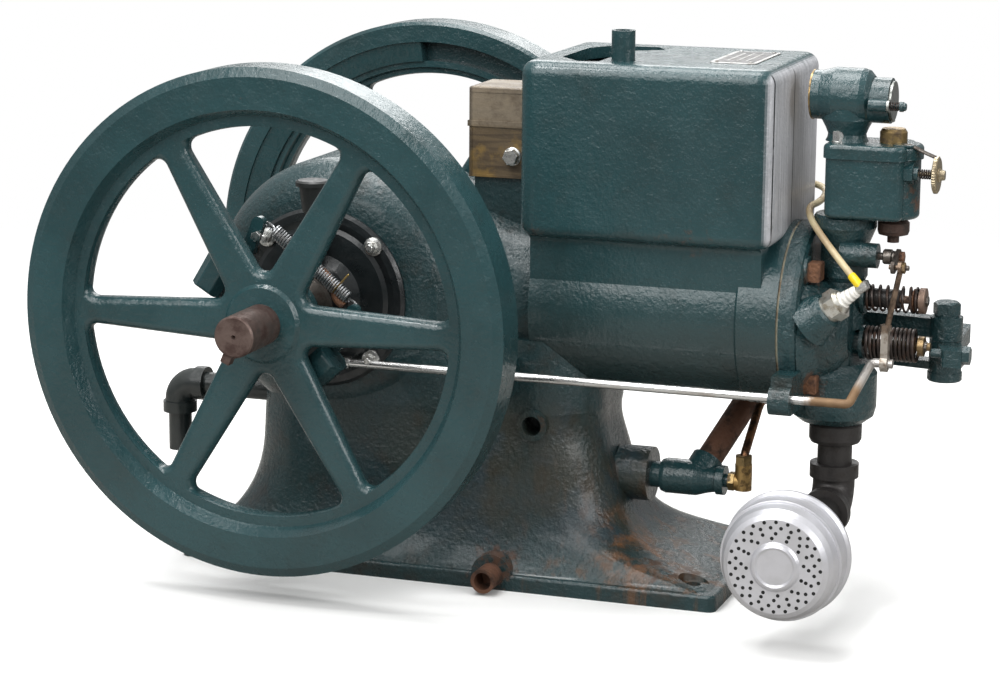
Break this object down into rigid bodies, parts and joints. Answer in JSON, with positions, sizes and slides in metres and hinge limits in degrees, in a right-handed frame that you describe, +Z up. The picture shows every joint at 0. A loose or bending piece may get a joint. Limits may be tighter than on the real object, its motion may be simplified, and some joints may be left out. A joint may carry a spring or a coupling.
{
  "type": "hopper-cooled stationary petrol engine",
  "caption": "Horizontal hopper-cooled stationary engine with twin flywheels, flyweight governor, mixer, coil box and can silencer on its own cast foot.",
  "frame": {"origin": "on the floor under the crankshaft, in the middle plane of the cylinder", "axes": "+X along the cylinder towards the head, +Y along the crankshaft away from the governor side, +Z up"},
  "size_m": [0.774, 0.522, 0.483],
  "materials": {
    "green_paint": "semi-gloss",
    "dark_paint": "satin",
    "steel": "worn",
    "spring_steel": "bright",
    "rusty_iron": "rusted",
    "brass": "worn",
    "silver_can": "satin",
    "box_wood": "varnished",
    "plug_metal": "plated",
    "lead_cover": "matt",
    "gasket": "matt",
    "copper_tube": "dull"
  },
  "bodies": {
    "engine": {"engine_base": "green_paint", "cylinder_hopper": "green_paint", "near_side_cover": "dark_paint", "far_side_cover": "dark_paint", "cylinder_head": "green_paint", "head_gasket": "gasket", "rocker_bracket": "green_paint", "rocker_pin": "steel", "intake_valve_spring": "spring_steel", "exhaust_valve_spring": "spring_steel", "spark_plug": "plug_metal", "ignition_lead": "lead_cover", "coil_box": "box_wood", "coil_box_lid": "box_wood", "carburettor_bowl": "green_paint", "carburettor_lid": "green_paint", "air_inlet": "green_paint", "reservoir_cap": "brass", "carburettor_drain": "brass", "exhaust_nipple": "rusty_iron", "exhaust_elbow": "rusty_iron", "muffler": "silver_can", "fuel_fitting": "green_paint", "filler_pipe": "rusty_iron", "fuel_line": "copper_tube", "breather_pipe": "green_paint", "oil_cups": "dark_paint", "hopper_stub_pipe": "green_paint", "base_drain_pipe": "rusty_iron"},
    "crank": {"crankshaft": "steel", "flywheel_near": "green_paint", "flywheel_far": "green_paint", "gib_keys": "steel", "governor_weights": "green_paint", "governor_collar": "steel", "governor_spring": "spring_steel"},
    "governor": {"governor_rod": "steel"},
    "throttle": {"throttle_lever": "steel"},
    "link": {"throttle_link": "steel"},
    "rocker": {"rocker_arm": "green_paint"},
    "exhaust": {"exhaust_valve": "steel"},
    "intake": {"intake_valve": "steel"},
    "push": {"push_rod": "steel"},
    "needle": {"needle_valve": "brass"},
    "choke": {"choke_shutter": "brass"}
  },
  "joints": [
    {"name": "flywheel_spin", "type": "hinge", "parent": "engine", "child": "crank", "pos_m": [0, 0, 0.242], "axis": [0, 1, 0], "continuous": true},
    {"name": "governor_rod_turn", "type": "hinge", "parent": "engine", "child": "governor", "pos_m": [0.2, -0.098, 0.188], "axis": [-1, 0, 0], "range_deg": [0, 5]},
    {"name": "throttle_turn", "type": "hinge", "parent": "engine", "child": "throttle", "pos_m": [0.48, -0.03, 0.301], "axis": [-1, 0, 0], "range_deg": [-12.6, 0]},
    {"name": "throttle_link_turn", "type": "hinge", "parent": "throttle", "child": "link", "pos_m": [0.502, -0.05, 0.296], "axis": [-1, 0, 0], "range_deg": [0, 12.24]},
    {"name": "rocker_turn", "type": "hinge", "parent": "engine", "child": "rocker", "pos_m": [0.531, 0.02, 0.217], "axis": [0, 0, -1], "range_deg": [0, 7]},
    {"name": "exhaust_valve_slide", "type": "slide", "parent": "engine", "child": "exhaust", "axis": [-1, 0, 0], "range_m": [0, 0.00391], "deforming": ["exhaust_valve_spring"]},
    {"name": "push_rod_slide", "type": "slide", "parent": "engine", "child": "push", "axis": [1, 0, 0], "range_m": [0, 0.00856]},
    {"name": "intake_valve_slide", "type": "slide", "parent": "engine", "child": "intake", "axis": [-1, 0, 0], "range_m": [0, 0.004], "deforming": ["intake_valve_spring"]},
    {"name": "needle_turn", "type": "hinge", "parent": "engine", "child": "needle", "pos_m": [0.51, -0.03, 0.372], "axis": [1, 0, 0], "range_deg": [-180, 180]},
    {"name": "choke_turn", "type": "hinge", "parent": "engine", "child": "choke", "pos_m": [0.486, -0.038, 0.428], "axis": [1, 0, 0], "range_deg": [0, 80]}
  ],
  "couplings": [
    {"joint": "throttle_turn", "follows": "governor_rod_turn", "ratio": -2.52},
    {"joint": "throttle_link_turn", "follows": "governor_rod_turn", "ratio": 2.449},
    {"joint": "exhaust_valve_slide", "follows": "rocker_turn", "m_per_rad": 0.032},
    {"joint": "push_rod_slide", "follows": "rocker_turn", "m_per_rad": 0.07}
  ]
}
